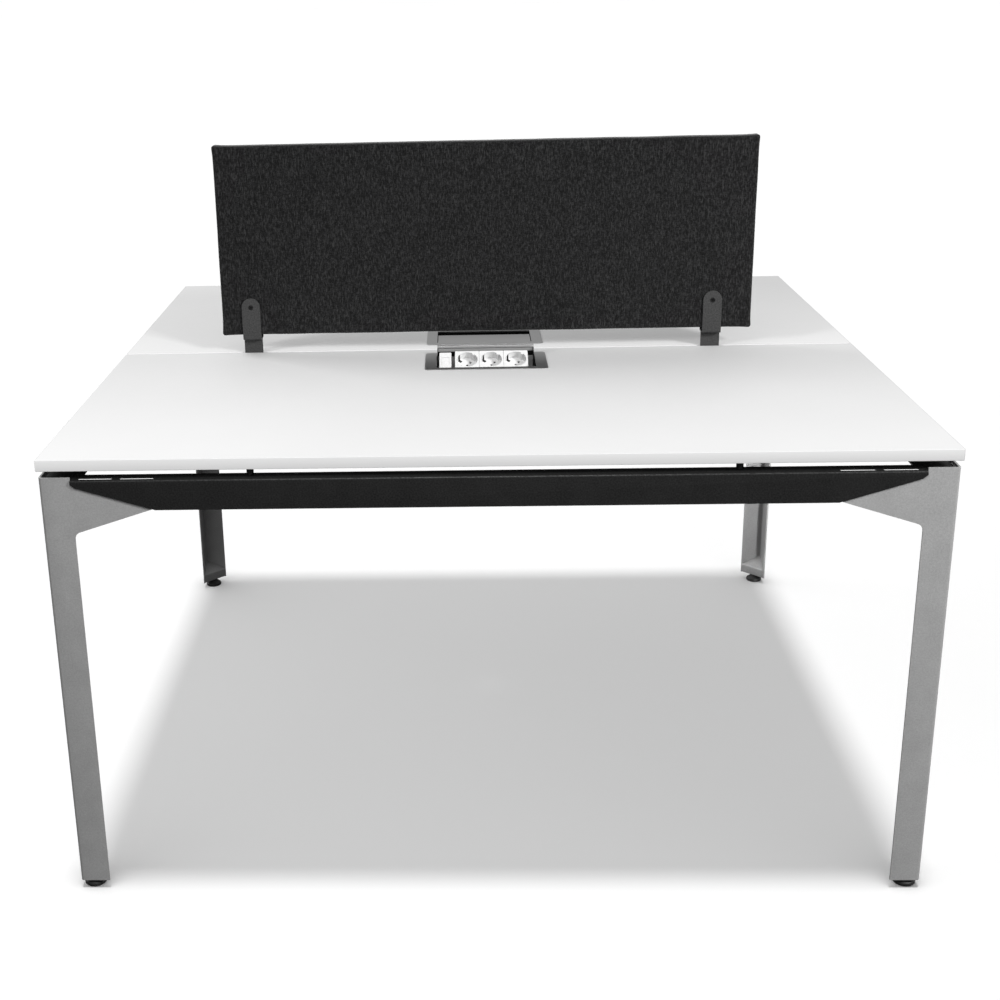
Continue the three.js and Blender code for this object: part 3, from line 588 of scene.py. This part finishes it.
def power_fittings(user):
    """Earth clips and screws in the socket cups, black sheets of painted shade in the clip pockets and on the
    cup floors, the data module's shutter and the clip at the row's end.
    """
    body = f"{user}_power_module"
    clips, screws, pocket_shade_sheets = bmesh.new(), bmesh.new(), bmesh.new()
    upright = Matrix.Translation((0, 0, POCKET_SHADE_SEAT)) @ Matrix.Rotation(-math.pi / 2, 4, "Y")
    for i in SOCKETS:
        face = face_frame(user, f"{user}_socket_{i}", SOCKET_DEPTH)
        for half_turn in (0, math.pi):
            pocket = face @ Matrix.Rotation(CUP_TURN + half_turn, 4, "Z")
            ribbon(clips, pocket, CLIP_LINE, CLIP_WIDTH, CLIP_SHEET)
            # Painted shade: black sheets lining each clip pocket and lying on the cup floor beside it.
            ribbon(pocket_shade_sheets, pocket @ upright, POCKET_SHADE_LINE, POCKET_SHADE_WIDTH, SHADE_SHEET_THICKNESS)
            ribbon(pocket_shade_sheets, pocket, CUP_FLOOR_SHADE_LINE, CUP_FLOOR_SHADE_WIDTH, SHADE_SHEET_THICKNESS)
        bolt_head(screws, face @ Matrix.Translation((0, 0, SCREW_SEAT)), SCREW_HEAD)
    end = face @ Matrix.Translation((0, END_CLIP_RISE, 0)) @ Matrix.Rotation(-math.pi / 2, 4, "Z")
    ribbon(clips, end, END_CLIP_LINE, END_CLIP_WIDTH, CLIP_SHEET)
    new_piece(f"{user}_earth_clips", clips, "zinc_steel", body)
    new_piece(f"{user}_socket_screws", screws, "black_steel", body)
    new_piece(f"{user}_painted_pocket_shade", pocket_shade_sheets, "black_plastic", body)
    shutter = bmesh.new()
    face = face_frame(user, f"{user}_data_module", DATA_DEPTH) @ Matrix.Translation((0, 0, SHUTTER_SEAT))
    plate(shutter, face, SHUTTER_HALF, SHUTTER_CORNER, SHUTTER_SHEET, SHUTTER_CHAMFER)
    for rise in SHUTTER_RIBS:
        rib = face @ Matrix.Translation((0, rise, SHUTTER_SHEET))
        plate(shutter, rib, RIB_HALF, RIB_CORNER, RIB_RISE, SHUTTER_CHAMFER)
    new_piece(f"{user}_shutter", shutter, "white_plastic", body)


def frame_fixings():
    """Bolts behind the gussets and on the trough's ends, and screws up through the flanges."""
    bolts, screws = bmesh.new(), bmesh.new()
    for x in (-1, 1):
        for y in (-1, 1):
            for back in BOLTS_FROM_END:
                spot = Vector((x * (BEAM_ENDS.x - back), y * LEG_INSIDE.y, BOLT_LEVEL))
                turn = Matrix.Rotation(y * math.pi / 2, 4, "X")
                bolt_head(bolts, Matrix.Translation(spot) @ turn, BUTTON_HEAD)
                spot = Vector((x * LEG_INSIDE.x, y * (BEAM_ENDS.y - back), BOLT_LEVEL))
                turn = Matrix.Rotation(-x * math.pi / 2, 4, "Y")
                bolt_head(bolts, Matrix.Translation(spot) @ turn, BUTTON_HEAD)
        for y, z in TROUGH_BOLTS:
            spot = Vector((x * TROUGH_END, y * MM, z * MM))
            turn = Matrix.Rotation(x * math.pi / 2, 4, "Y")
            bolt_head(bolts, Matrix.Translation(spot) @ turn, BUTTON_HEAD)
    down = Matrix.Rotation(math.pi, 4, "X")
    for user in USERS:
        for hand in HANDS:
            spots = [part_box(f"spacer_{user}_{line}_{hand}") for line in ("outer", "inner")]
            spots = [(low + high) / 2 for low, high in spots]
            low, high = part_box(f"strap_{user}_{hand}")
            strap = (low + high) / 2
            spots.append(Vector((strap.x, math.copysign(STRAP_BOLT_LINE, strap.y), 0)))
            for spot in spots:
                bolt_head(screws, Matrix.Translation((spot.x, spot.y, FLANGE_UNDERSIDE)) @ down, PAN_HEAD)
    new_piece("frame_bolts", bolts, "black_steel", "desk")
    new_piece("flange_screws", screws, "black_steel", "desk")


def stage_piece(name, mesh, material, unseen_by):
    """A piece of the studio, which rays of the kinds named pass by."""
    made = bpy.data.meshes.new(name)
    mesh.to_mesh(made)
    mesh.free()
    made.materials.append(material)
    piece = bpy.data.objects.new(name, made)
    for kind in unseen_by:
        setattr(piece, f"visible_{kind}", False)
    bpy.context.scene.collection.objects.link(piece)
    return piece


def white_floor():
    """A pale floor, which gives no light back to the desk."""
    mesh = bmesh.new()
    bmesh.ops.create_grid(mesh, x_segments=1, y_segments=1, size=FLOOR_HALF)
    paint = Finish("floor_paint", Specular_IOR_Level=0.0, Roughness=0.9)
    tone = paint.spread(paint.noise(900, detail=2), 0, 1)
    paint.drive(Base_Color=paint.blend(tone, grey(0.98), grey(0.99)))
    return stage_piece("floor", mesh, paint.material, ("diffuse", "glossy"))


def backdrop():
    """A white wall far off all round the floor, which gives no light to the desk."""
    mesh = bmesh.new()
    turns = [math.tau * i / BACKDROP_SIDES for i in range(BACKDROP_SIDES)]
    spots = [(BACKDROP_RADIUS * math.cos(turn), BACKDROP_RADIUS * math.sin(turn)) for turn in turns]
    foot = [mesh.verts.new((x, y, 0)) for x, y in spots]
    rim = [mesh.verts.new((x, y, BACKDROP_HEIGHT)) for x, y in spots]
    for i in range(BACKDROP_SIDES):
        j = (i + 1) % BACKDROP_SIDES
        mesh.faces.new((foot[i], foot[j], rim[j], rim[i]))
    paint = Finish("backdrop_paint", Base_Color=grey(0.0), Specular_IOR_Level=0.0, Emission_Strength=1.0)
    tone = paint.spread(paint.noise(9000), 0, 1)
    paint.drive(Emission_Color=paint.blend(tone, grey(1.0), grey(1.02)))
    unseen_by = ("diffuse", "glossy", "transmission", "volume_scatter", "shadow")
    stage_piece("backdrop", mesh, paint.material, unseen_by)


def studio():
    """White floor and backdrop, light from all round, and lamps for the floor, the tops or the fittings."""
    pieces = [piece for piece in bpy.context.scene.objects if piece.type == "MESH"]
    tops = [frame["nodes"][f"{user}_top"] for user in USERS]
    names = ("ground", "desk", "boards", "fittings")
    ground, desk, boards, fittings = (bpy.data.collections.new(name) for name in names)
    ground.objects.link(white_floor())
    for piece in pieces:
        desk.objects.link(piece)
        (boards if piece in tops else fittings).objects.link(piece)
    backdrop()
    surroundings()
    overhead = bpy.data.lights.new("overhead", "SUN")
    overhead.energy = OVERHEAD_LIGHT * math.pi
    overhead.angle = OVERHEAD_SPREAD
    lamp = bpy.data.objects.new("overhead", overhead)
    lamp.rotation_euler = (OVERHEAD_LEAN, 0, 0)
    lamp.light_linking.receiver_collection = ground
    bpy.context.scene.collection.objects.link(lamp)
    softbox("side_box", SIDE_BOX, fittings)
    softbox("front_box", FRONT_BOX, fittings)
    softbox("low_box", LOW_BOX, fittings, LOW_PLACE)
    softbox("foot_box", FOOT_BOX, fittings, LOW_PLACE).data.spread = FOOT_SPREAD
    softbox("right_box", RIGHT_BOX, boards)
    softbox("left_box", LEFT_BOX, boards)
    softbox("back_box", BACK_BOX, desk)
    softbox("floor_fill", FLOOR_FILL, ground).rotation_euler = (0, 0, 0)


def surroundings():
    """Light from all round, by height: dim at the floor, brightest in a band, and stronger on one side."""
    world = bpy.data.worlds.new("studio")
    bpy.context.scene.world = world
    world.use_nodes = True
    tree = world.node_tree
    way = tree.nodes.new("ShaderNodeTexCoord").outputs["Generated"]
    parts = tree.nodes.new("ShaderNodeSeparateXYZ")
    share = tree.nodes.new("ShaderNodeMapRange")
    share.inputs["From Min"].default_value = -1
    bands = tree.nodes.new("ShaderNodeValToRGB")
    tree.links.new(way, parts.inputs["Vector"])
    tree.links.new(parts.outputs["Z"], share.inputs["Value"])
    tree.links.new(share.outputs["Result"], bands.inputs["Fac"])
    lean = tree.nodes.new("ShaderNodeVectorMath")
    lean.operation = "DOT_PRODUCT"
    lean.inputs[1].default_value = LIGHT_LEAN
    strength = tree.nodes.new("ShaderNodeMath")
    strength.inputs[1].default_value = 1
    tree.links.new(way, lean.inputs[0])
    tree.links.new(lean.outputs["Value"], strength.inputs[0])
    tree.links.new(strength.outputs["Value"], tree.nodes["Background"].inputs["Strength"])
    tree.links.new(bands.outputs["Color"], tree.nodes["Background"].inputs["Color"])
    ramp = bands.color_ramp.elements
    ramp[0].color = grey(LIGHT_BELOW)
    ramp[1].color = grey(LIGHT_ABOVE)
    levels = {
        FLOOR_LINE: LIGHT_BELOW,
        0.0: LIGHT_LOW,
        BAND_START: LIGHT_LOW,
        BAND_FULL: LIGHT_ROUND,
        BAND_TOP: LIGHT_ROUND,
        BAND_FADE: LIGHT_ABOVE,
    }
    for height, level in levels.items():
        stop = ramp.new((height + 1) / 2)
        stop.color = grey(level)


def softbox(name, setting, receivers, aim=LIT_PLACE):
    """A square lamp with a place, side and power, which faces a spot and lights only its receivers."""
    place, side, power = setting
    light = bpy.data.lights.new(name, "AREA")
    light.shape = "SQUARE"
    light.size = side
    light.energy = power
    lamp = bpy.data.objects.new(name, light)
    lamp.location = place
    lamp.rotation_euler = (aim - lamp.location).to_track_quat("-Z", "Y").to_euler()
    lamp.light_linking.receiver_collection = receivers
    bpy.context.scene.collection.objects.link(lamp)
    return lamp


def photo_camera():
    """A camera that stands and looks as the photograph's did."""
    lens = bpy.data.cameras.new("camera")
    lens.sensor_width = SENSOR
    lens.lens = SENSOR * FOCAL_PIXELS / IMAGE_SIDE
    lens.shift_x = 0.5 - VANISHING_CENTRE[0] / IMAGE_SIDE
    lens.shift_y = VANISHING_CENTRE[1] / IMAGE_SIDE - 0.5
    camera = bpy.data.objects.new("camera", lens)
    turn = Matrix.Rotation(CAMERA_YAW, 4, "Z") @ Matrix.Rotation(CAMERA_PITCH, 4, "X")
    turn = turn @ Matrix.Rotation(CAMERA_ROLL, 4, "Y") @ Matrix.Rotation(math.pi / 2, 4, "X")
    camera.matrix_world = Matrix.Translation(CAMERA_PLACE) @ turn
    bpy.context.scene.collection.objects.link(camera)
    bpy.context.scene.camera = camera
    bpy.context.scene.view_settings.view_transform = "Standard"


photo_camera()
dress_frame()
screen_panel()
for user in USERS:
    power_fittings(user)
frame_fixings()
studio()
